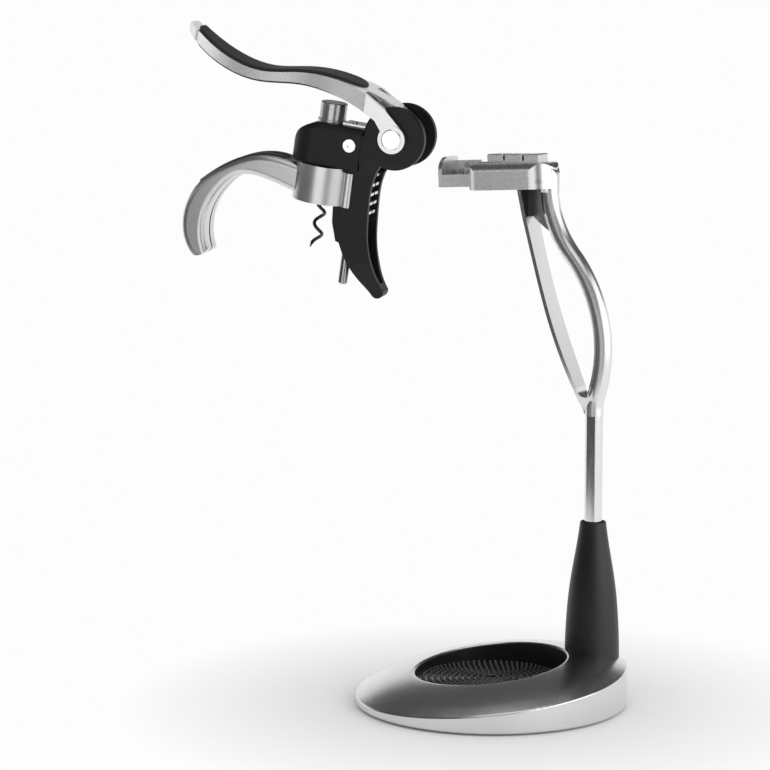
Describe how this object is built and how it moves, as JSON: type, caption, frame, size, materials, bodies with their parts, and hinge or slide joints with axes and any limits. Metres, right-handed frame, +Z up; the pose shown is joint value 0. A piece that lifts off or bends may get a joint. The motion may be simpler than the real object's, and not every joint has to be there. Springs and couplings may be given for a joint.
{
  "type": "counter mount corkscrew",
  "caption": "Lever corkscrew with clamping handles, beside its counter stand: weighted round base with a bottle recess, a pole and a looped arm with a dock.",
  "frame": {"origin": "centre of the base's underside, on the counter", "axes": "+Z up; +X from the centre of the base towards the pole; the arm and the corkscrew reach to -X and +Y"},
  "size_m": [0.2912, 0.3093, 0.4898],
  "materials": {
    "satin_cast": "satin silver lacquer",
    "satin_alloy": "satin",
    "polished": "polished",
    "steel": "satin",
    "black_cast": "soft-touch black",
    "soft_black": "soft-touch black",
    "rubber": "matte",
    "inner_plastic": "matte",
    "worm_black": "black non-stick coat",
    "ballast": "raw"
  },
  "bodies": {
    "base": {"base_casting": "satin_cast", "bottle_mat": "rubber", "base_weight": "ballast", "base_foot": "rubber", "base_screws": "steel", "cone_sleeve": "soft_black", "guide_tube": "steel", "upper_bush": "inner_plastic"},
    "lift": {"pole_plug": "inner_plastic"},
    "arm": {"pole": "steel", "arm_tube": "satin_alloy", "arm_strip": "satin_alloy", "strip_insert": "soft_black", "arm_web": "satin_alloy", "head_housing": "satin_alloy", "head_pin": "steel", "head_screws": "steel", "dock_shoe": "satin_alloy", "shoe_screws": "steel"},
    "release": {"release_slider": "satin_alloy"},
    "frame": {"near_shell": "soft_black", "far_shell": "soft_black", "shell_screws": "steel", "lever_axle": "steel", "clamp_pins": "steel"},
    "lever": {"lever_casting": "satin_alloy", "drive_gear": "steel", "gear_screws": "steel", "grip_top": "rubber", "grip_under": "rubber", "pivot_caps": "polished"},
    "carriage": {"head_near": "soft_black", "head_far": "soft_black", "head_bolts": "polished", "carriage_block": "satin_alloy", "carriage_plate": "steel", "plate_screws": "steel", "rack": "steel", "guide_rod": "polished", "worm_cap": "satin_alloy", "worm_bush": "inner_plastic"},
    "worm": {"worm": "worm_black"},
    "clamp_near": {"clamp_near": "satin_alloy", "jaw_near": "inner_plastic", "handle_grip_near": "rubber"},
    "clamp_far": {"clamp_far": "satin_alloy", "jaw_far": "inner_plastic", "handle_grip_far": "rubber"}
  },
  "joints": [
    {"name": "arm_height", "type": "slide", "parent": "base", "child": "lift", "axis": [0, 0, 1], "range_m": [-0.07, 0]},
    {"name": "arm_swivel", "type": "hinge", "parent": "lift", "child": "arm", "pos_m": [0.0763, 0, 0.094], "axis": [0, 0, 1], "range_deg": [-47.5, 132.5]},
    {"name": "dock_release", "type": "slide", "parent": "arm", "child": "release", "axis": [0.7304, -0.6811, 0.0523], "range_m": [0, 0.005], "stiffness_N_per_m": 400},
    {"name": "dock_slide", "type": "slide", "parent": "arm", "child": "frame", "axis": [0.7314, -0.682, 0], "range_m": [-0.03, 0.01]},
    {"name": "lever_pivot", "type": "hinge", "parent": "frame", "child": "lever", "pos_m": [-0.04181, 0.11014, 0.4052], "axis": [0.5075, 0.8595, 0.0603], "range_deg": [0, 130]},
    {"name": "carriage_slide", "type": "slide", "parent": "frame", "child": "carriage", "axis": [0.1077, -0.1327, 0.9853], "range_m": [0, 0.03575]},
    {"name": "worm_spin", "type": "hinge", "parent": "carriage", "child": "worm", "pos_m": [-0.08798, 0.13679, 0.41383], "axis": [0.1077, -0.1327, 0.9853], "continuous": true},
    {"name": "clamp_near_hinge", "type": "hinge", "parent": "frame", "child": "clamp_near", "pos_m": [-0.07433, 0.11624, 0.40957], "axis": [0.1077, -0.1327, 0.9853], "range_deg": [0, 28]},
    {"name": "clamp_far_hinge", "type": "hinge", "parent": "frame", "child": "clamp_far", "pos_m": [-0.06316, 0.13514, 0.4109], "axis": [-0.1077, 0.1327, -0.9853], "range_deg": [0, 28]}
  ],
  "couplings": [
    {"joint": "carriage_slide", "follows": "lever_pivot", "m_per_rad": 0.01575}
  ]
}
